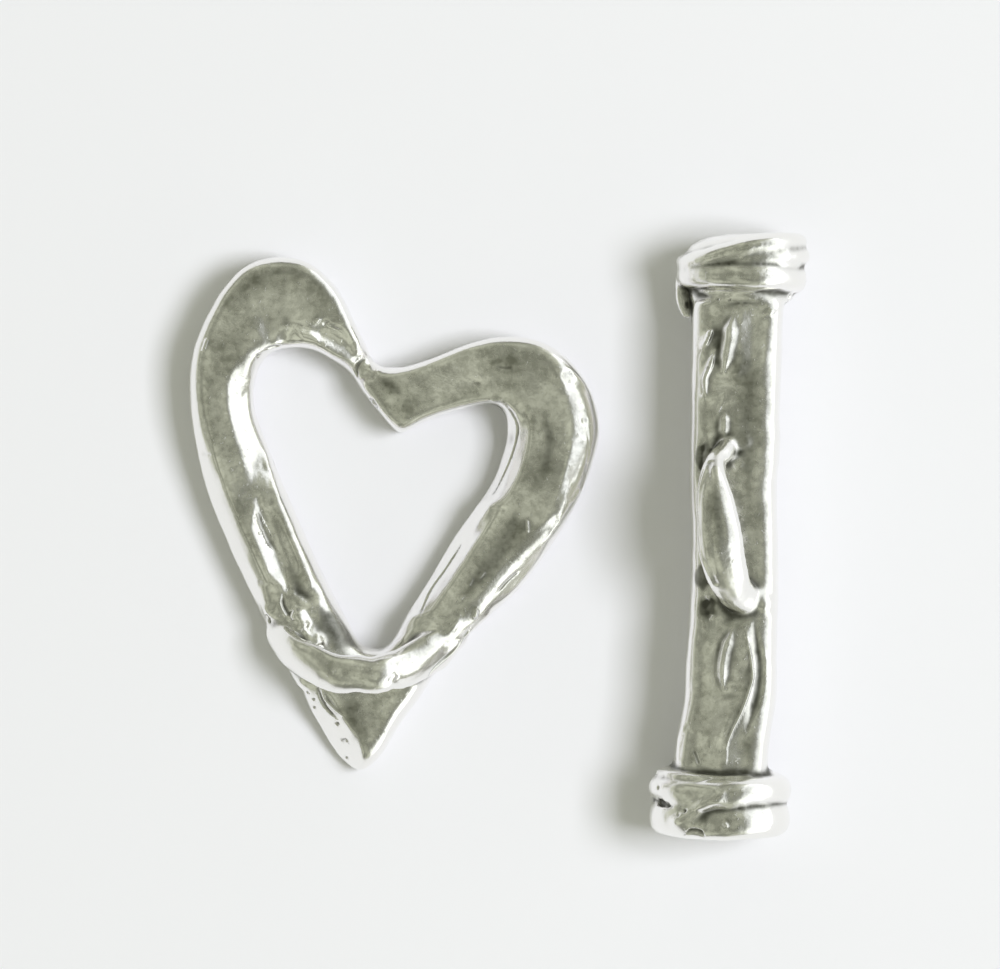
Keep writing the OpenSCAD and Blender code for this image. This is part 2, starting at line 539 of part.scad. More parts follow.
// Ring k of the steps from curve a to curve b: steep at the groove and level on the ridge
function between(a, b, psi, rising) =
    let (out = rising ? sin(psi) : 1 - cos(psi), on = rising ? 1 - cos(psi) : sin(psi))
    [a[0] + (b[0] - a[0]) * out, a[1] + (b[1] - a[1]) * on, a[2] + (b[2] - a[2]) * out];
function wrap_rings(wrap, curves) =
    [for (i = [0 : len(curves) - 2]) for (k = [1 : strand_rise_steps])
        [for (a = rounds) between(curve_point(wrap, curves[i], a), curve_point(wrap, curves[i + 1], a),
            k * 90 / strand_rise_steps, i % 2 == 0)]];

// Rings that close the bar's end with a low dome
function end_cap(wrap, curves) =
    let (middle = wrap_place(wrap, 0, 1 - end_bulge_share, 0))
    [for (k = [1 : end_rings])
        [for (a = rounds) between(curve_point(wrap, curves[len(curves) - 1], a), middle,
            k * 90 / (end_rings + 0.5), false)]];

// Degrees round the shaft of a place across its top, the reverse of shaft_point
function around_at(across) = acos(sign(across) * pow(abs(across), shaft_power / 2));

// All folds as lines over the unrolled bar: distance round it and distance along it
function fold_line(fold, places) =
    [fold[0] * fold_w / 2, fold[1] * fold_t, [for (p = places) [p[1] * PI / 180 * bar_w / 2, p[0]]]];
fold_lines = concat(
    [for (fold = SHAFT_FOLDS) fold_line(fold, [for (p = fold[2]) [p[0] * bar_l, around_at(p[1])]])],
    [for (fold = LOWER_FOLDS) fold_line(fold, [for (p = fold[2]) [wrap_y(lower_wrap, p[0]), p[1]]])]);

// A ring of the bar with the folds raised on it
function folded(ring) =
    [for (k = [0 : bar_sides - 1])
        let (a = rounds[k], p = ring[k],
            lift = lift_at([a * PI / 180 * bar_w / 2, p[1]], fold_lines))
        p + [cos(a) * lift, 0, sin(a) * lift]];

function reversed(list) = [for (i = [len(list) - 1 : -1 : 0]) list[i]];

module bar_body() {
    low_edge = [for (a = rounds) curve_point(lower_wrap, LOWER_WRAP[0], a)[1]];
    high_edge = [for (a = rounds) curve_point(upper_wrap, UPPER_WRAP[0], a)[1]];
    shaft = [for (s = [0 : shaft_rings])
        [for (k = [0 : bar_sides - 1])
            shaft_point(low_edge[k] + (high_edge[k] - low_edge[k]) * s / shaft_rings, rounds[k])]];
    rings = concat(
        reversed(end_cap(lower_wrap, LOWER_WRAP)),
        reversed(wrap_rings(lower_wrap, LOWER_WRAP)),
        shaft,
        wrap_rings(upper_wrap, UPPER_WRAP),
        end_cap(upper_wrap, UPPER_WRAP));
    skin([for (ring = rings) folded(ring)]);
}

// Point of the loop: rise 0 is on the shaft's top, 1 is the middle of the strand at its highest
function loop_point(along, lean, rise) =
    let (y = loop_place_share * bar_l + along * loop_l,
        low = bar_mid_z(y / bar_l) + shaft_at(y / bar_l)[3] * bar_h / 2)
    [lean * bar_w, y, low + (loop_gap + loop_t / 2) * rise];

module bar_loop() {
    rows = open_rows(LOOP, strand_steps);
    mids = [for (row = rows) loop_point(row[0], row[1], row[2])];
    skin(strand_rings(mids, [for (row = rows) [row[3] * loop_w / 2, row[4] * loop_t / 2, row[5]]]));
    for (lump = LOOP_LUMPS) {
        hull() {
            ball(loop_point(lump[0], lump[1], lump_rise_share), lump[4] * loop_t);
            ball(loop_point(lump[2], lump[3], lump_rise_share), lump[4] * loop_t);
        }
    }
}

module wrap_tail() {
    for (i = [0 : len(TAIL) - 2]) {
        hull() {
            for (row = [TAIL[i], TAIL[i + 1]]) {
                ball(wrap_place(upper_wrap, row[0], row[1], row[2]), row[3] * tail_d / 2);
            }
        }
    }
}

module toggle_bar() {
    color(silver) translate([bar_x, bar_y, 0]) {
        bar_body();
        bar_loop();
        wrap_tail();
    }
}

heart_ring();
toggle_bar();
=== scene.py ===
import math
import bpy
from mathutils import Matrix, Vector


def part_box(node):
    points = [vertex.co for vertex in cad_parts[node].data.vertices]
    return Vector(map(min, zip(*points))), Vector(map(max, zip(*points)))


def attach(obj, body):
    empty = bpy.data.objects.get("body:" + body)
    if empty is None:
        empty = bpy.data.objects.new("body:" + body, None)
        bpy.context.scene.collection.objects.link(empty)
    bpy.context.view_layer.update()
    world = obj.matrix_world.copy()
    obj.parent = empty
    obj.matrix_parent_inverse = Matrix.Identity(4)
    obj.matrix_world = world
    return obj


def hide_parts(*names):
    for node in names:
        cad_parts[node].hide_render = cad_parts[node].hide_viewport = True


bl_info = {
    "name": "Cast toggle clasp",
    "version": (1, 0, 0),
    "blender": (4, 5, 0),
    "location": "3D View > Sidebar > Clasp",
    "description": "Heart ring and toggle bar in cast, polished and darkened silver",
    "category": "Object",
}

from collections import namedtuple

import bmesh
import bpy
import numpy as np
from mathutils import Vector, noise
from mathutils.bvhtree import BVHTree

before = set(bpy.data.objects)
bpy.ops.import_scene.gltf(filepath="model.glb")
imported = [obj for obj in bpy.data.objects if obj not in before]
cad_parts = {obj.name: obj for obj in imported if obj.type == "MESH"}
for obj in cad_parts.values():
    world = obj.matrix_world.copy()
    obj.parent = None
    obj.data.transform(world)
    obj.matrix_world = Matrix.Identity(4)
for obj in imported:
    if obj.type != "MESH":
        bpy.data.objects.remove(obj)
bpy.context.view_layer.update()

MM = 0.001
PHOTO_WIDTH = 1000
PHOTO_HEIGHT = 969
ORIGIN_COLUMN = 498  # the photograph's pixel column and row at the middle of the box round both pieces
ORIGIN_ROW = 536
WELD = 1e-6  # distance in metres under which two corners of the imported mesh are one

# Marks
RELIEF = ("crease", "ridge", "dent")
LINE_STEP = 0.15  # distance in mm between the points that a mark's line is dropped from
DROP_HEIGHT = 1.0  # height in metres that they are dropped from
TAPER = 4  # how quickly a mark gains its full width and height from either end
BLUNT = 0.3  # share of them that it has at the ends themselves
BROAD = 1.0  # width in mm from which a pressed mark shapes the surface and gathers no patina
THIN = 0.5  # width in mm under which a pressed mark gets smaller mesh cells
THIN_MARGIN = 1.6  # how many times the mark's width the smaller cells take up
POLISH_PASSES = 50  # how many times a polished place is averaged with its surroundings
PAINT_PASSES = 6  # the same for the edges of shine, soot and painted shadow

# Broad waves
HEART_WAVES = 420.0  # about how many broad waves a metre of the surface would hold
BAR_WAVES = 480.0
WAVE_SHIFT = (3.1, 1.7, 0.9)  # moves one piece's waves from the other's
RIPPLE_SCALE = 2.7  # how many times as close the small waves are
RIPPLE_SHARE = 0.45  # and how high beside the broad ones

# Hollows, which hold the patina, and flats, which hold the film: cloudy tarnish that is also painted shade
# darkening the upward-facing tops
NEAR_PASSES = 12  # times of averaging that give a vertex's near surroundings
FAR_PASSES = 70  # and from those its far ones
SMALL_UNIT = 0.010  # unit of a small hollow's depth, in mm under the near surroundings
SMALL_WEIGHT = 0.55  # how much a small hollow holds for each unit
SMALL_LEAST = 0.25  # and how much of that is lost to rubbing
BROAD_UNIT = 0.09  # unit of a broad hollow's depth, in mm under the far surroundings
BROAD_LEAST = 0.35  # how much of a broad one is lost to rubbing
HOLLOW_PASSES = 3  # times of averaging that soften the hollows' edges
FLAT_PASSES = 6  # and the flats'
FLAT_FROM = 0.72  # upward part of the normal at which the film and its painted top shade begin
FLAT_RANGE = 0.24  # and how much more it takes for the whole film and painted top shade

# Patterns of the silver and the floor, as clouds to a metre
BROAD_CLOUDS = 420.0
FINE_CLOUDS = 2600.0
SPECKS = 5200.0
FLOOR_CLOUDS = 60.0

# Surroundings
FLOOR_SIZE = 1.5  # half the floor's side, in metres
FLOOR_GAP = 0.00002  # the floor lies this little under the CAD model's lowest point, in metres
FLOOR_SHADE = 0.985  # how bright the floor's darker clouds are beside its own colour
ROOM_PATCHES = 2.2  # size of the room's patches, as a noise scale over the directions
ROOM_DARK = 0.55  # how bright the darker ones are beside the room's own colour
ROOM_LIGHT = 1.75  # and the lighter ones
HORIZON = 0.80  # grey of the room near the floor
SENSOR = 36.0  # width of the camera's sensor, in mm

# One mark on the metal: its width and height in mm, and its places in mm from the middle of the piece's box.
# A crease is a sunk line, a ridge a raised one and a dent a round hollow. A shine is a patch where the
# patina is worn away, a soot one where it is thicker (beside the bar's loop it is painted shadow instead),
# and a polish one is rubbed smooth. Their height is how much, 1 for all of it at the middle and more for all
# of it over a wider part.
Mark = namedtuple("Mark", "form wide high places")

HEART_MARKS = [
    # left lobe
    Mark("ridge", 0.28, 0.10, [(-3.55, 8.62), (-3.30, 8.76)]),
    Mark("dent", 0.32, 0.05, [(-3.15, 8.55), (-2.95, 8.48)]),
    Mark("crease", 0.28, 0.04, [(-3.05, 8.40), (-2.70, 8.25), (-2.30, 8.12)]),
    Mark("crease", 0.26, 0.03, [(-2.90, 8.75), (-2.50, 8.65), (-2.20, 8.50)]),
    Mark("dent", 1.30, 0.14, [(-4.75, 7.85)]),
    Mark("crease", 1.30, 0.15, [(-3.95, 8.30), (-3.00, 8.20), (-2.25, 7.65), (-1.75, 6.95)]),
    Mark("shine", 1.70, 1.00, [(-5.40, 7.90), (-4.00, 8.05), (-2.90, 8.00), (-1.90, 7.50)]),
    Mark("soot_and_shadow", 1.60, 0.60, [(-7.40, 9.60), (-5.80, 10.60), (-4.20, 10.70), (-2.90, 9.90)]),
    Mark("soot_and_shadow", 1.20, 0.50, [(-7.60, 7.60), (-6.60, 8.40), (-5.40, 8.90)]),
    Mark("ridge", 0.26, 0.09, [(-8.35, 7.95), (-8.50, 7.50), (-8.60, 7.25)]),
    Mark("crease", 0.26, 0.06, [(-5.80, 7.40), (-5.45, 7.50), (-5.10, 7.55)]),
    Mark("crease", 0.24, 0.05, [(-6.05, 7.20), (-6.15, 7.00)]),
    # seam in the neck
    Mark("polish", 1.10, 1.00, [(-1.60, 7.00), (-1.30, 6.70), (-1.00, 6.20)]),
    Mark("crease", 0.24, 0.08, [(-0.95, 7.05), (-1.28, 7.00), (-1.56, 6.74), (-1.70, 6.44), (-1.62, 6.02)]),
    Mark("dent", 0.60, 0.28, [(-1.05, 5.05), (-0.80, 4.86)]),
    Mark("soot_and_shadow", 0.60, 1.00, [(-1.00, 5.02), (-0.85, 4.90)]),
    # left leg
    Mark("crease", 0.18, 0.02, [(-8.75, 2.72), (-8.45, 2.66), (-8.15, 2.68)]),
    Mark("polish", 1.20, 0.80, [(-6.97, 6.20), (-6.90, 5.40)]),
    Mark("polish", 1.40, 1.00, [(-6.00, 2.20), (-5.90, 1.20), (-5.70, 0.30)]),
    Mark("crease", 1.60, 0.22,
         [(-6.10, 0.60), (-5.80, -0.30), (-5.40, -1.30), (-5.00, -2.30), (-4.75, -3.40)]),
    Mark("polish", 1.60, 1.00, [(-6.00, -3.20), (-5.60, -4.20)]),
    Mark("crease", 0.26, 0.07, [(-6.05, 3.90), (-5.65, 2.90), (-5.32, 2.00)]),
    Mark("crease", 0.24, 0.05, [(-6.26, 0.30), (-5.94, -0.40), (-5.58, -1.15), (-5.18, -1.80)]),
    Mark("dent", 0.26, 0.03, [(-6.25, -0.18)]),
    Mark("dent", 0.26, 0.03, [(-5.95, -0.85)]),
    Mark("polish", 1.40, 0.90, [(-4.60, -3.60), (-4.20, -4.60), (-3.60, -5.40)]),
    Mark("crease", 0.34, 0.10, [(-5.00, -3.60), (-4.95, -4.10), (-4.70, -4.55), (-4.35, -4.90)]),
    Mark("ridge", 1.10, 0.24, [(-4.50, -4.20), (-4.25, -4.80), (-3.95, -5.30)]),
    Mark("dent", 0.34, 0.16, [(-5.72, -4.55), (-5.60, -4.95)]),
    Mark("soot_and_shadow", 0.90, 0.50, [(-7.00, 0.60), (-6.60, -0.80), (-6.00, -2.20)]),
    Mark("soot_and_shadow", 0.80, 0.60, [(-4.60, -1.60), (-4.20, -2.60), (-4.00, -3.60)]),
    Mark("soot_and_shadow", 1.90, 1.00, [(-3.30, -4.30), (-2.60, -5.20), (-1.70, -6.00)]),
    # right limb
    Mark("ridge", 0.26, 0.08, [(4.30, 5.10), (4.90, 5.15)]),
    Mark("crease", 0.24, 0.05, [(4.60, 6.62), (5.00, 6.55), (5.40, 6.58)]),
    Mark("crease", 0.24, 0.04, [(3.50, 5.90), (3.90, 5.85)]),
    Mark("soot_and_shadow", 0.90, 0.80, [(-0.70, 6.20), (-0.10, 5.70), (0.40, 5.30)]),
    Mark("soot_and_shadow", 0.90, 0.70, [(0.90, 4.90), (0.40, 4.40)]),
    Mark("soot_and_shadow", 1.00, 0.60, [(4.60, 6.80), (6.20, 6.90), (7.20, 5.80)]),
    Mark("soot_and_shadow", 0.90, 0.85, [(6.80, 4.40), (7.00, 3.00), (6.60, 1.50)]),
    Mark("soot_and_shadow", 1.90, 0.80, [(5.50, 0.20), (5.10, -1.10), (4.30, -2.30), (3.30, -3.50)]),
    Mark("shine", 0.90, 0.60, [(1.70, 5.60), (3.20, 6.00), (4.40, 6.10)]),
    # right leg
    Mark("crease", 0.26, 0.12,
         [(5.00, 5.00), (5.50, 4.10), (5.50, 3.40), (5.20, 2.40), (4.65, 1.20), (4.45, 0.90)]),
    Mark("crease", 0.22, 0.12, [(3.00, -1.40), (2.40, -2.35), (1.60, -3.50), (1.15, -4.60)]),
    Mark("crease", 0.22, 0.02, [(4.15, 0.45), (4.70, 0.30), (5.15, 0.15)]),
    Mark("polish", 1.60, 0.90,
         [(2.30, -6.10), (3.20, -5.10), (4.30, -3.90), (5.20, -2.75), (6.10, -1.60), (7.25, -0.30)]),
    Mark("ridge", 0.20, 0.08, [(5.95, -0.15), (5.98, -0.50), (6.00, -0.90)]),
    Mark("dent", 0.46, 0.03, [(8.55, 4.20)]),
    Mark("crease", 0.30, 0.02, [(8.65, 3.80), (8.75, 2.80), (8.35, 0.90), (7.65, -0.35)]),
    Mark("polish", 2.10, 1.00, [(7.80, 6.20), (8.50, 5.00), (8.80, 3.60), (8.60, 2.20), (8.00, 0.80)]),
    Mark("polish", 1.00, 0.90, [(1.20, -5.00), (2.30, -4.80)]),
    Mark("shine", 1.10, 1.00, [(1.20, -5.00), (2.30, -4.80)]),
    Mark("ridge", 0.24, 0.06, [(4.10, -2.55), (3.75, -2.95)]),
    Mark("ridge", 0.22, 0.05, [(3.55, -2.85), (3.30, -3.30)]),
    Mark("ridge", 0.22, 0.05, [(3.20, -3.60), (2.90, -3.90)]),
    Mark("crease", 0.24, 0.04, [(5.70, -2.50), (5.10, -3.00), (4.60, -3.60)]),
    Mark("ridge", 0.36, 0.12, [(3.72, -4.20), (3.60, -4.72)]),
    Mark("crease", 0.22, 0.08, [(3.45, -5.05), (2.90, -5.90), (1.80, -6.95), (1.45, -7.45)]),
    # bridge
    Mark("crease", 0.16, 0.025,
         [(-0.30, -7.75), (-0.30, -7.50), (-0.14, -7.27), (0.09, -7.12), (0.22, -7.30),
          (-0.05, -7.58), (-0.12, -7.78)]),
    Mark("ridge", 0.24, 0.08, [(-2.70, -6.95), (-2.60, -7.10)]),
    # point
    Mark("ridge", 0.22, 0.07, [(-3.25, -7.75), (-3.12, -8.30), (-2.70, -8.75), (-2.25, -9.15)]),
    Mark("crease", 0.22, 0.08, [(-3.42, -7.70), (-3.30, -8.30), (-2.95, -8.85), (-2.50, -9.25)]),
    Mark("soot_and_shadow", 1.20, 0.70, [(-2.30, -8.00), (-2.00, -8.90), (-1.65, -9.90), (-1.40, -10.80)]),
    Mark("dent", 0.20, 0.08, [(-3.90, -8.05)]),
    Mark("dent", 0.20, 0.07, [(-3.62, -8.35)]),
    Mark("dent", 0.22, 0.08, [(-3.60, -8.72)]),
    Mark("dent", 0.26, 0.10, [(-2.55, -9.45)]),
    Mark("crease", 0.18, 0.06, [(-2.45, -10.25), (-2.20, -10.15), (-2.05, -10.35)]),
    Mark("dent", 0.22, 0.07, [(-2.15, -11.00)]),
    Mark("shine", 1.60, 0.90, [(0.70, -8.20), (0.30, -9.00), (-0.10, -9.80)]),
]

BAR_MARKS = [
    # upper half of the shaft
    Mark("ridge", 0.36, 0.10, [(-0.80, 9.30), (-1.00, 8.80), (-1.25, 8.35)]),
    Mark("ridge", 0.36, 0.10, [(-0.68, 8.30), (-0.93, 7.55), (-1.13, 7.05), (-1.08, 6.35)]),
    Mark("ridge", 0.80, 0.22, [(0.22, 10.00), (0.02, 9.40), (-0.06, 8.70), (-0.18, 8.00), (-0.30, 7.30)]),
    Mark("ridge", 0.60, 0.15, [(-0.25, 5.50), (-0.28, 4.50)]),
    Mark("ridge", 0.20, 0.05, [(-0.40, 5.90), (-0.60, 5.45)]),
    Mark("dent", 0.22, 0.06, [(-0.55, 10.60)]),
    Mark("dent", 0.18, 0.05, [(-0.10, 10.75)]),
    Mark("dent", 0.18, 0.05, [(0.00, 10.55)]),
    Mark("ridge", 0.80, 0.12, [(1.75, 10.15), (1.85, 9.90)]),
    Mark("soot_and_shadow", 1.80, 0.70, [(0.70, 9.00), (0.80, 6.50), (0.70, 4.60), (0.90, 2.00)]),
    Mark("soot_and_shadow", 0.80, 0.60, [(-0.90, 9.90), (-0.60, 8.80)]),
    Mark("shine", 1.00, 1.00, [(-1.40, 11.00), (0.00, 11.00), (1.40, 11.00)]),
    Mark("shine", 0.70, 0.60, [(-0.05, 9.60), (-0.15, 8.00), (-0.15, 6.40)]),
    # lower half of the shaft
    Mark("ridge", 0.66, 0.20,
         [(0.14, -4.10), (-0.16, -4.90), (-0.30, -5.60), (-0.34, -6.20), (-0.28, -6.90)]),
    Mark("ridge", 0.18, 0.11,
         [(0.60, -3.80), (0.82, -4.90), (1.00, -6.15), (0.82, -6.95), (0.50, -7.85),
          (0.06, -8.75), (-0.17, -9.45), (-0.22, -10.30)]),
    Mark("ridge", 0.20, 0.05, [(-0.95, -3.80), (-0.55, -3.40)]),
    # Painted shadow: near-black beside the lower foot of the raised loop.
    Mark("soot_and_shadow", 1.30, 1.60, [(-1.25, -2.95), (-0.75, -3.40)]),
    Mark("polish", 1.40, 1.00, [(-1.95, -8.60), (-1.95, -10.20)]),
    Mark("crease", 0.56, 0.10,
         [(1.05, -3.90), (1.25, -5.00), (1.37, -6.00), (1.23, -7.10), (0.95, -8.05), (0.72, -8.65)]),
    Mark("soot_and_shadow", 1.00, 0.60, [(1.00, -9.00), (0.90, -10.20)]),
    Mark("shine", 1.40, 0.50, [(-0.70, -5.00), (-0.40, -7.50), (-0.60, -9.60)]),
    Mark("crease", 0.26, 0.06, [(-1.65, -9.50), (-1.45, -10.00), (-1.35, -10.30)]),
    # loop
    Mark("polish", 0.90, 1.00, [(-0.95, 3.29), (-1.20, 1.98), (-1.25, 0.54), (-1.12, -0.86), (-0.68, -2.10)]),
    Mark("soot_and_shadow", 0.90, 0.75, [(-0.70, 2.60), (-0.60, 1.00), (-0.35, -0.80)]),
    # These two marks are painted shadow: near-black under the ends of the raised loop.
    Mark("soot_and_shadow", 1.20, 1.60, [(-1.05, 4.20), (-1.30, 3.00)]),
    Mark("soot_and_shadow", 1.20, 1.60, [(-1.35, -1.30), (-1.20, -2.40)]),
    Mark("ridge", 0.24, 0.10, [(-1.10, -2.65), (-0.85, -2.85)]),
    # wraps
    Mark("shine", 0.90, 1.00, [(2.10, 12.25), (2.70, 12.20), (3.25, 12.15)]),
    Mark("dent", 0.45, 0.14, [(2.70, 10.70)]),
    Mark("crease", 0.40, 0.16, [(-3.30, -11.85), (-2.95, -12.00), (-2.60, -12.08)]),
    Mark("dent", 0.30, 0.12, [(-3.22, -11.25)]),
    Mark("dent", 0.28, 0.08, [(-2.05, -12.25)]),
    Mark("dent", 0.22, 0.06, [(-2.35, -12.45)]),
    Mark("crease", 0.30, 0.14, [(-2.05, -13.35), (-1.75, -13.15), (-1.35, -13.20), (-1.15, -13.45)]),
    Mark("ridge", 0.30, 0.10, [(-0.35, -12.75), (-0.10, -13.00)]),
]


class ClaspSilver(bpy.types.PropertyGroup):
    metal: bpy.props.FloatVectorProperty(
        name="Metal", description="Colour of the polished silver", subtype="COLOR",
        size=3, min=0, max=1, default=(0.96, 0.95, 0.93))
    patina: bpy.props.FloatVectorProperty(
        name="Patina", description="Colour of the darkened silver in the hollows", subtype="COLOR",
        size=3, min=0, max=1, default=(0.10, 0.10, 0.085))
    # The cloud colour is the film laid on the flats: cloudy tarnish, and painted shade that darkens the
    # upward-facing tops.
    cloud: bpy.props.FloatVectorProperty(
        name="Cloud", description="Colour of the thin patina left on the flats", subtype="COLOR",
        size=3, min=0, max=1, default=(0.30, 0.30, 0.265))
    roughness: bpy.props.FloatProperty(
        name="Roughness", description="Roughness of the polished metal", min=0, max=1, default=0.18)
    grain: bpy.props.FloatProperty(
        name="Grain", description="Height of the fine unevenness of the cast surface", unit="LENGTH",
        min=0, max=0.0002, precision=6, default=0.00002)


class ClaspRelief(bpy.types.PropertyGroup):
    heart_mesh: bpy.props.FloatProperty(
        name="Heart mesh", description="Size of the heart ring's mesh cells", unit="LENGTH",
        min=0.00007, max=0.0004, precision=6, default=0.000105)
    bar_mesh: bpy.props.FloatProperty(
        name="Bar mesh", description="Size of the bar's mesh cells", unit="LENGTH",
        min=0.00006, max=0.0004, precision=6, default=0.000090)
    soften: bpy.props.IntProperty(
        name="Soften", description="How many times the joins between forms are smoothed",
        min=0, max=40, default=14)
    mark_depth: bpy.props.FloatProperty(
        name="Mark depth", description="Share of the listed depth of creases, ridges and dents",
        min=0, max=2, default=1)
    wave: bpy.props.FloatProperty(
        name="Wave", description="Height of the broad waves left by hand shaping", unit="LENGTH",
        min=0, max=0.0003, precision=6, default=0.00005)


class ClaspStage(bpy.types.PropertyGroup):
    camera_height: bpy.props.FloatProperty(
        name="Camera height", description="Distance of the camera above the view level", unit="LENGTH",
        min=0.2, max=2, default=0.5)
    view_level: bpy.props.FloatProperty(
        name="View level", description="Height above the floor at which the view width is measured",
        unit="LENGTH", min=0, max=0.01, default=0.002)
    view_width: bpy.props.FloatProperty(
        name="View width", description="Width of the picture at the view level", unit="LENGTH",
        min=0.03, max=0.1, precision=5, default=0.045)
    floor: bpy.props.FloatVectorProperty(
        name="Floor", description="Colour of the floor", subtype="COLOR", default=(0.880, 0.872, 0.915))
    key_power: bpy.props.FloatProperty(
        name="Key light", description="Power of the soft light above on the right", unit="POWER",
        min=0, max=50, default=4.8)
    key_place: bpy.props.FloatVectorProperty(
        name="Key place", description="Where the key light stands", subtype="TRANSLATION", size=3,
        default=(0.385, 0.01, 0.70))
    key_size: bpy.props.FloatProperty(
        name="Key size", description="Side of the key light's square", unit="LENGTH",
        min=0.05, max=1, default=0.29)
    key_colour: bpy.props.FloatVectorProperty(
        name="Key colour", description="Colour of the key light", subtype="COLOR", size=3,
        min=0, max=1, default=(0.94, 0.955, 1.0))
    fill: bpy.props.FloatProperty(
        name="Fill", description="How much brighter the room lights the floor than it shows in the metal",
        min=0.5, max=3, default=1.03)
    glow: bpy.props.FloatProperty(
        name="Glow", description="Strength of the soft glow at the right that the metal reflects",
        min=0, max=10, default=4.0)
    glow_colour: bpy.props.FloatVectorProperty(
        name="Glow colour", description="Colour of that glow", subtype="COLOR", size=3,
        min=0, max=1, default=(0.94, 0.97, 1.0))
    room: bpy.props.FloatVectorProperty(
        name="Room", description="Colour that the room overhead gives to the metal", subtype="COLOR", size=3,
        min=0, max=1, default=(0.325, 0.336, 0.268))


class Socket:
    """An output of a node that takes part in Python arithmetic."""

    def __init__(self, tree, link):
        self.tree = tree
        self.link = link

    def math(self, operation, first, second):
        return self.tree.node("ShaderNodeMath", {"operation": operation}, {0: first, 1: second})["Value"]

    def __add__(self, other):
        return self.math("ADD", self, other)

    __radd__ = __add__

    def __sub__(self, other):
        return self.math("SUBTRACT", self, other)

    def __rsub__(self, other):
        return self.math("SUBTRACT", other, self)

    def __mul__(self, other):
        return self.math("MULTIPLY", self, other)

    __rmul__ = __mul__

    def clamped(self):
        return self.tree.node("ShaderNodeClamp", {}, {"Value": self})["Result"]

    def between(self, low, high):
        """0 at low, 1 at high, with soft ends."""
        return self.tree.node(
            "ShaderNodeMapRange", {"interpolation_type": "SMOOTHSTEP"},
            {"Value": self, "From Min": low, "From Max": high})["Result"]


class Tree:
    """A node tree whose nodes all come from one method."""

    def __init__(self, tree):
        self.tree = tree
        tree.nodes.clear()

    def node(self, kind, settings=None, sockets=None):
        made = self.tree.nodes.new(kind)
        for name, value in (settings or {}).items():
            setattr(made, name, value)
        for name, value in (sockets or {}).items():
            if isinstance(value, Socket):
                self.tree.links.new(value.link, made.inputs[name])
            else:
                made.inputs[name].default_value = value
        return {out.name: Socket(self, out) for out in reversed(made.outputs) if out.enabled}

    def mix(self, factor, first, second):
        return self.node("ShaderNodeMix", {"data_type": "RGBA"}, {0: factor, 6: first, 7: second})["Result"]

    def cloud(self, where, scale, detail=3.0, rough=0.55):
        return self.node(
            "ShaderNodeTexNoise", {},
            {"Vector": where, "Scale": scale, "Detail": detail, "Roughness": rough})["Fac"]


def colour(rgb):
    return (*rgb, 1.0)


def grey(value):
    return (value, value, value, 1.0)


def cast_silver(settings):
    """Polished silver with dark patina in its hollows and painted shadow under the ends of the bar's loop,
    and a cloudy film on its flats that is also painted shade darkening the upward-facing tops.
    """
    made = bpy.data.materials.new("cast_silver")
    made.use_nodes = True
    tree = Tree(made.node_tree)
    where = tree.node("ShaderNodeTexCoord")["Object"]
    hollow = tree.node("ShaderNodeAttribute", {"attribute_name": "hollow"})["Fac"]
    flat = tree.node("ShaderNodeAttribute", {"attribute_name": "flat"})["Fac"]
    broad = tree.cloud(where, BROAD_CLOUDS, 4.0, 0.6)
    fine = tree.cloud(where, FINE_CLOUDS, 3.0, 0.6)
    specks = tree.cloud(where, SPECKS, 2.0, 0.5)
    thick = tree.node("ShaderNodeAttribute", {"attribute_name": "thick"})["Fac"]
    # The film has cloudy random tone, but it lies only where the surface faces up, so it is also painted
    # shade that darkens the tops.
    film_and_top_shade = flat * (broad.between(0.32, 0.70) * 0.5 + fine.between(0.35, 0.75) * 0.4 + thick * 0.55).clamped()
    worn = (0.0 - thick).between(0.3, 1.0)
    # Thicker patina, and near-black painted shadow from the marks under the ends of the bar's loop.
    soot_and_shadow = thick.between(0.5, 1.0) * (0.55 + fine * 0.6)
    dark = ((hollow + (fine - 0.5) * 0.35 * hollow) * (1.0 - worn) + soot_and_shadow * 0.8).clamped()
    base = tree.mix(film_and_top_shade, colour(settings.metal), colour(settings.cloud))
    base = tree.mix(dark, base, colour(settings.patina))
    rough = settings.roughness + film_and_top_shade * 0.16 + dark * 0.25 + (fine - 0.5) * 0.06
    grain = (fine * 0.6 + specks * 0.25 + specks.between(0.66, 0.74) * 0.6) * (0.2 + flat * 0.8) + broad * 1.2
    bump = tree.node(
        "ShaderNodeBump", {}, {"Strength": 0.8, "Distance": settings.grain, "Height": grain})["Normal"]
    shader = tree.node(
        "ShaderNodeBsdfPrincipled", {},
        {"Base Color": base, "Metallic": 1.0, "Roughness": rough, "Normal": bump})["BSDF"]
    tree.node("ShaderNodeOutputMaterial", {}, {"Surface": shader})
    return made


def silver_material(settings):
    return bpy.data.materials.get("cast_silver") or cast_silver(settings)


def fine_copy(node, name, cell, soften):
    """A copy of a CAD node with its doubles merged, in even small cells and with softened joins."""
    bm = bmesh.new()
    bm.from_mesh(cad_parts[node].data)
    bmesh.ops.remove_doubles(bm, verts=bm.verts, dist=WELD)
    bmesh.ops.recalc_face_normals(bm, faces=bm.faces)
    rough = bpy.data.meshes.new(name + "_rough")
    bm.to_mesh(rough)
    bm.free()
    piece = bpy.data.objects.new(name, rough)
    bpy.context.scene.collection.objects.link(piece)
    cells = piece.modifiers.new("cells", "REMESH")
    cells.mode = "VOXEL"
    cells.voxel_size = cell
    smooth = piece.modifiers.new("soften", "SMOOTH")
    smooth.factor = 0.5
    smooth.iterations = soften
    settled = piece.evaluated_get(bpy.context.evaluated_depsgraph_get())
    mesh = bpy.data.meshes.new_from_object(settled)
    mesh.name = name
    piece.modifiers.clear()
    piece.data = mesh
    bpy.data.meshes.remove(rough)
    return piece


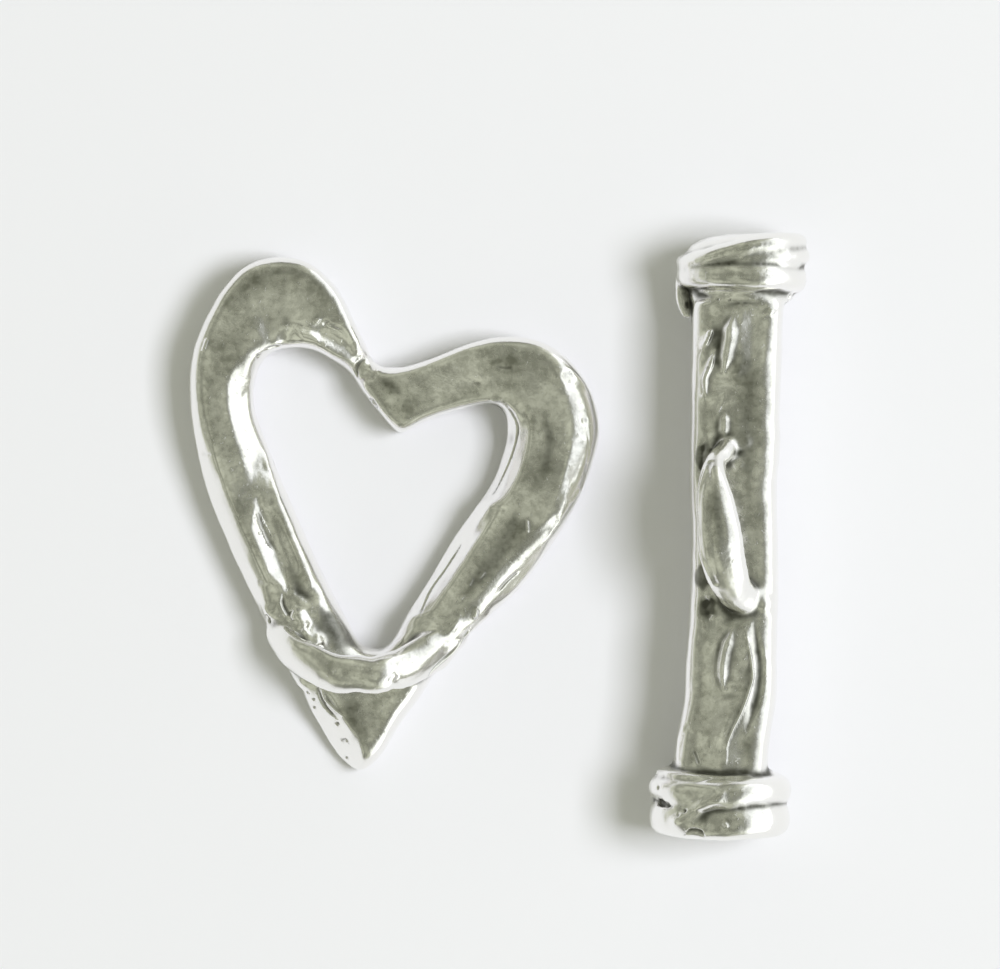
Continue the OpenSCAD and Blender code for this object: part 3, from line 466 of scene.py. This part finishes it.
def read_points(mesh):
    """The places of the vertices and their normals."""
    places = np.empty(len(mesh.vertices) * 3)
    mesh.vertices.foreach_get("co", places)
    normals = np.empty(len(mesh.vertices) * 3)
    mesh.vertices.foreach_get("normal", normals)
    return places.reshape(-1, 3), normals.reshape(-1, 3)


def write_points(mesh, places):
    mesh.vertices.foreach_set("co", places.ravel())
    mesh.update()


def spread(mesh, values, times):
    """Values at the vertices, averaged with their neighbours' a number of times."""
    edges = np.empty(len(mesh.edges) * 2, dtype=np.int64)
    mesh.edges.foreach_get("vertices", edges)
    ends = np.concatenate([edges[0::2], edges[1::2]])
    others = np.concatenate([edges[1::2], edges[0::2]])
    count = np.bincount(ends, minlength=len(mesh.vertices))
    values = values.reshape(len(mesh.vertices), -1).copy()
    for _ in range(times):
        for k in range(values.shape[1]):
            total = np.bincount(ends, weights=values[others, k], minlength=len(mesh.vertices))
            values[:, k] = 0.5 * values[:, k] + 0.5 * total / count
    return values


def smooth_line(places, step):
    """Points close together on the smooth curve through a list of places."""
    ends = [places[0], *places, places[-1]]
    points = []
    for before, start, end, after in zip(ends, ends[1:], ends[2:], ends[3:]):
        count = max(1, round(math.dist(start, end) / step))
        for k in range(count):
            t = k / count
            points.append([
                0.5 * (2 * p1 + (p2 - p0) * t + (2 * p0 - 5 * p1 + 4 * p2 - p3) * t * t
                       + (3 * p1 - p0 - 3 * p2 + p3) * t ** 3)
                for p0, p1, p2, p3 in zip(before, start, end, after)])
    return points + [places[-1]]


def on_surface(tree, middle, places):
    """Points along a line of places, dropped from above on to the surface."""
    found = []
    for x, y in smooth_line(places, LINE_STEP):
        start = Vector((middle.x + x * MM, middle.y + y * MM, DROP_HEIGHT))
        hit = tree.ray_cast(start, Vector((0, 0, -1)))[0]
        if hit:
            found.append(tuple(hit))
    return np.array(found)


def distance_to(places, line):
    """Distance of each place from a line of points, and how far along the line it lies, 0 to 1."""
    if len(line) == 1:
        return np.linalg.norm(places - line[0], axis=1), np.full(len(places), 0.5)
    best = np.full(len(places), np.inf)
    along = np.zeros(len(places))
    for k, (start, end) in enumerate(zip(line, line[1:])):
        way = end - start
        t = np.clip((places - start) @ way / max(way @ way, 1e-18), 0, 1)
        far = np.linalg.norm(places - start - t[:, None] * way, axis=1)
        along = np.where(far < best, (k + t) / (len(line) - 1), along)
        best = np.minimum(best, far)
    return best, along


def profile(form, share):
    """Height of a mark at a share of its half width."""
    height = np.clip(1 - share ** 2, 0, 1) ** 2
    return height if form == "ridge" else -height


def near_marks(mesh, middle, marks):
    """For each mark: the vertices on it, their distances from its line as shares of its width, its taper."""
    places = read_points(mesh)[0]
    tree = BVHTree.FromPolygons([tuple(p) for p in places], [tuple(f.vertices) for f in mesh.polygons])
    for mark in marks:
        line = on_surface(tree, middle, mark.places)
        if not len(line):
            raise RuntimeError(f"the {mark.form} at {mark.places[0]} misses its piece")
        half = mark.wide * MM / 2
        near = np.flatnonzero(np.all((places > line.min(0) - half) & (places < line.max(0) + half), axis=1))
        far, along = distance_to(places[near], line)
        taper = np.clip(TAPER * np.minimum(along, 1 - along), BLUNT, 1)
        share = far / (half * taper)
        inside = share < 1
        yield mark, near[inside], share[inside], taper[inside]


def refine(mesh, middle, marks):
    """Splits the mesh cells under the thin marks, so that they stay sharp."""
    thin = [mark._replace(wide=mark.wide * THIN_MARGIN) for mark in marks
            if mark.form in RELIEF and mark.wide < THIN]
    close = np.zeros(len(mesh.vertices), dtype=bool)
    for _, near, _, _ in near_marks(mesh, middle, thin):
        close[near] = True
    bm = bmesh.new()
    bm.from_mesh(mesh)
    edges = [e for e in bm.edges if close[e.verts[0].index] and close[e.verts[1].index]]
    bmesh.ops.subdivide_edges(bm, edges=edges, cuts=1, use_grid_fill=True)
    bm.to_mesh(mesh)
    bm.free()


def press_marks(mesh, middle, marks, depth):
    """Raises the ridges and sinks the creases and dents."""
    places, normals = read_points(mesh)
    lift = np.zeros(len(places))
    for mark, near, share, taper in near_marks(mesh, middle, marks):
        lift[near] += profile(mark.form, share) * taper * mark.high * MM * depth
    write_points(mesh, places + normals * lift[:, None])


def polish(mesh, middle, marks):
    """Evens out the surface where hand polishing has run the forms together."""
    places = read_points(mesh)[0]
    rubbed = np.zeros(len(places))
    for mark, near, share, _ in near_marks(mesh, middle, [m for m in marks if m.form == "polish"]):
        rubbed[near] = np.maximum(rubbed[near], min(1, mark.high) * np.clip(2 - 2 * share, 0, 1))
    if rubbed.any():
        places += rubbed[:, None] * (spread(mesh, places, POLISH_PASSES) - places)
        write_points(mesh, places)


def paint_marks(mesh, middle, marks):
    """Stores where the patina is thicker and where painted shadow lies, over 0, and where the patina is worn
    away, under 0.
    """
    thick = np.zeros(len(mesh.vertices))
    for mark, near, share, _ in near_marks(mesh, middle, [m for m in marks if m.form in ("shine", "soot_and_shadow")]):
        amount = mark.high * (1 - share ** 2)
        thick[near] += amount if mark.form == "soot_and_shadow" else -amount
    keep(mesh, "thick", spread(mesh, np.clip(thick, -1, 1), PAINT_PASSES)[:, 0])


def keep(mesh, name, values):
    """Stores one value for each vertex, which the material reads by its name."""
    layer = mesh.attributes.new(name, "FLOAT", "POINT")
    layer.data.foreach_set("value", values.astype(np.float32))


def wave_surface(mesh, height, scale, seed):
    """Broad waves and small unevenness, as hand shaping and tumbling leave them."""
    places, normals = read_points(mesh)
    shift = Vector([seed * part for part in WAVE_SHIFT])
    lift = np.array([
        noise.noise(Vector(p) * scale + shift)
        + RIPPLE_SHARE * noise.noise(Vector(p) * scale * RIPPLE_SCALE - shift)
        for p in places])
    write_points(mesh, places + normals * (lift * height)[:, None])


def keep_hollows(mesh):
    """Stores how deep each vertex lies in a hollow."""
    places, normals = read_points(mesh)
    near = spread(mesh, places, NEAR_PASSES)
    far = spread(mesh, near, FAR_PASSES)
    small = np.einsum("ij,ij->i", near - places, normals) / (SMALL_UNIT * MM)
    broad = np.einsum("ij,ij->i", far - places, normals) / (BROAD_UNIT * MM)
    hollow = np.clip(SMALL_WEIGHT * small - SMALL_LEAST, 0, 1) + np.clip(broad - BROAD_LEAST, 0, 1)
    keep(mesh, "hollow", spread(mesh, np.clip(hollow, 0, 1), HOLLOW_PASSES)[:, 0])


# The material lays its film on these flats: cloudy tarnish, and painted shade on the upward-facing tops.
def keep_flats(mesh):
    """Stores how level the surface is at each vertex."""
    upward = spread(mesh, read_points(mesh)[1][:, 2], FLAT_PASSES)[:, 0]
    keep(mesh, "flat", np.clip((upward - FLAT_FROM) / FLAT_RANGE, 0, 1))


def work_metal(mesh, middle, marks, relief, waves, seed):
    """The hand work on a piece, from polishing to patina."""
    pressed = [mark for mark in marks if mark.form in RELIEF]
    wave_surface(mesh, relief.wave, waves, seed)
    polish(mesh, middle, marks)
    refine(mesh, middle, marks)
    press_marks(mesh, middle, [mark for mark in pressed if mark.wide < BROAD], relief.mark_depth)
    keep_hollows(mesh)
    press_marks(mesh, middle, [mark for mark in pressed if mark.wide >= BROAD], relief.mark_depth)
    keep_flats(mesh)
    paint_marks(mesh, middle, marks)


def middle_of(node):
    low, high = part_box(node)
    return (Vector(low) + Vector(high)) / 2


def cast_piece(node, cell, marks, relief, waves, seed):
    """A CAD node as the finished casting that replaces it."""
    piece = fine_copy(node, node + "_cast", cell, relief.soften)
    work_metal(piece.data, middle_of(node), marks, relief, waves, seed)
    piece.data.polygons.foreach_set("use_smooth", [True] * len(piece.data.polygons))
    piece.data.materials.clear()
    piece.data.materials.append(silver_material(bpy.context.scene.clasp_silver))
    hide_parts(node)
    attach(piece, "root")


class CLASP_OT_heart_ring(bpy.types.Operator):
    """Makes the heart ring with its bridge, dents and seams"""

    bl_idname = "clasp.heart_ring"
    bl_label = "Heart ring"

    def execute(self, context):
        relief = context.scene.clasp_relief
        cast_piece("heart_ring", relief.heart_mesh, HEART_MARKS, relief, HEART_WAVES, seed=1)
        return {"FINISHED"}


class CLASP_OT_toggle_bar(bpy.types.Operator):
    """Makes the toggle bar with its bark folds, raised loop and wrapped ends"""

    bl_idname = "clasp.toggle_bar"
    bl_label = "Toggle bar"

    def execute(self, context):
        relief = context.scene.clasp_relief
        cast_piece("toggle_bar", relief.bar_mesh, BAR_MARKS, relief, BAR_WAVES, seed=2)
        return {"FINISHED"}


def make_floor(stage):
    bm = bmesh.new()
    bmesh.ops.create_grid(bm, x_segments=1, y_segments=1, size=FLOOR_SIZE)
    bmesh.ops.translate(bm, verts=bm.verts, vec=(0, 0, -FLOOR_GAP))
    mesh = bpy.data.meshes.new("floor")
    bm.to_mesh(mesh)
    bm.free()
    floor = bpy.data.objects.new("floor", mesh)
    bpy.context.scene.collection.objects.link(floor)
    made = bpy.data.materials.new("pale_floor")
    made.use_nodes = True
    tree = Tree(made.node_tree)
    where = tree.node("ShaderNodeTexCoord")["Object"]
    shade = colour([c * FLOOR_SHADE for c in stage.floor])
    base = tree.mix(tree.cloud(where, FLOOR_CLOUDS) * 0.3, colour(stage.floor), shade)
    shader = tree.node(
        "ShaderNodeBsdfPrincipled", {}, {"Base Color": base, "Roughness": 0.75})["BSDF"]
    tree.node("ShaderNodeOutputMaterial", {}, {"Surface": shader})
    mesh.materials.append(made)


def make_key(stage):
    """The soft light that casts the shadows; the metal doesn't show it."""
    data = bpy.data.lights.new("key", "AREA")
    data.shape = "SQUARE"
    data.size = stage.key_size
    data.energy = stage.key_power
    data.color = stage.key_colour
    light = bpy.data.objects.new("key", data)
    light.location = stage.key_place
    light.rotation_euler = (-Vector(stage.key_place)).to_track_quat("-Z", "Y").to_euler()
    light.visible_glossy = False
    bpy.context.scene.collection.objects.link(light)


def make_room(stage):
    """The room that the metal reflects, with a glow at the right that only glossy rays see."""
    world = bpy.data.worlds.new("room")
    world.use_nodes = True
    tree = Tree(world.node_tree)
    way = tree.node("ShaderNodeTexCoord")["Generated"]
    height = tree.node("ShaderNodeSeparateXYZ", {}, {"Vector": way})["Z"]
    patches = tree.cloud(way, ROOM_PATCHES, 3.0, 0.6)
    dark = [c * ROOM_DARK for c in stage.room]
    light = [min(1, c * ROOM_LIGHT) for c in stage.room]
    over = tree.mix(patches.between(0.38, 0.62), colour(dark), colour(light))
    sky = tree.mix(height.between(0.0, 0.12), grey(HORIZON), over)
    level = tree.node("ShaderNodeSeparateXYZ", {}, {"Vector": way})["X"]
    glow = level.between(0.38, 0.80) * height.between(0.0, 0.08) * (1.0 - height.between(0.40, 0.88))
    path = tree.node("ShaderNodeLightPath")
    in_metal = path["Is Glossy Ray"]
    strength = 1.0 + path["Is Diffuse Ray"] * (stage.fill - 1.0)
    sky = tree.node("ShaderNodeMix", {"data_type": "RGBA", "blend_type": "ADD", "clamp_result": False},
                    {0: glow * in_metal * stage.glow, 6: sky, 7: colour(stage.glow_colour)})["Result"]
    shader = tree.node("ShaderNodeBackground", {}, {"Color": sky, "Strength": strength})["Background"]
    tree.node("ShaderNodeOutputWorld", {}, {"Surface": shader})
    bpy.context.scene.world = world


def make_camera(stage):
    """Looks straight down, so that the origin falls on its place in the photograph."""
    data = bpy.data.cameras.new("camera")
    data.sensor_width = SENSOR
    data.lens = data.sensor_width * stage.camera_height / stage.view_width
    data.clip_start = 0.01
    data.clip_end = 10
    camera = bpy.data.objects.new("camera", data)
    pixel = stage.view_width / PHOTO_WIDTH
    camera.location = (
        (PHOTO_WIDTH / 2 - ORIGIN_COLUMN) * pixel,
        (ORIGIN_ROW - PHOTO_HEIGHT / 2) * pixel,
        stage.view_level + stage.camera_height)
    bpy.context.scene.collection.objects.link(camera)
    bpy.context.scene.camera = camera


class CLASP_OT_stage(bpy.types.Operator):
    """Makes the floor, the lights, the room and the camera"""

    bl_idname = "clasp.stage"
    bl_label = "Stage"

    def execute(self, context):
        stage = context.scene.clasp_stage
        make_floor(stage)
        make_room(stage)
        make_key(stage)
        make_camera(stage)
        context.scene.view_settings.view_transform = "Standard"
        return {"FINISHED"}


class CLASP_PT_panel(bpy.types.Panel):
    """The clasp's pieces and settings"""

    bl_label = "Toggle clasp"
    bl_idname = "CLASP_PT_panel"
    bl_space_type = "VIEW_3D"
    bl_region_type = "UI"
    bl_category = "Clasp"

    def draw(self, context):
        for operator in OPERATORS:
            self.layout.operator(operator.bl_idname)
        for group in (context.scene.clasp_silver, context.scene.clasp_relief, context.scene.clasp_stage):
            box = self.layout.box()
            for name in group.__annotations__:
                box.prop(group, name)


OPERATORS = (CLASP_OT_heart_ring, CLASP_OT_toggle_bar, CLASP_OT_stage)
CLASSES = (ClaspSilver, ClaspRelief, ClaspStage, *OPERATORS, CLASP_PT_panel)


def register():
    for cls in CLASSES:
        bpy.utils.register_class(cls)
    bpy.types.Scene.clasp_silver = bpy.props.PointerProperty(type=ClaspSilver)
    bpy.types.Scene.clasp_relief = bpy.props.PointerProperty(type=ClaspRelief)
    bpy.types.Scene.clasp_stage = bpy.props.PointerProperty(type=ClaspStage)


def unregister():
    del bpy.types.Scene.clasp_stage
    del bpy.types.Scene.clasp_relief
    del bpy.types.Scene.clasp_silver
    for cls in reversed(CLASSES):
        bpy.utils.unregister_class(cls)


def main():
    register()
    bpy.ops.clasp.heart_ring()
    bpy.ops.clasp.toggle_bar()
    bpy.ops.clasp.stage()


if __name__ == "__main__":
    main()
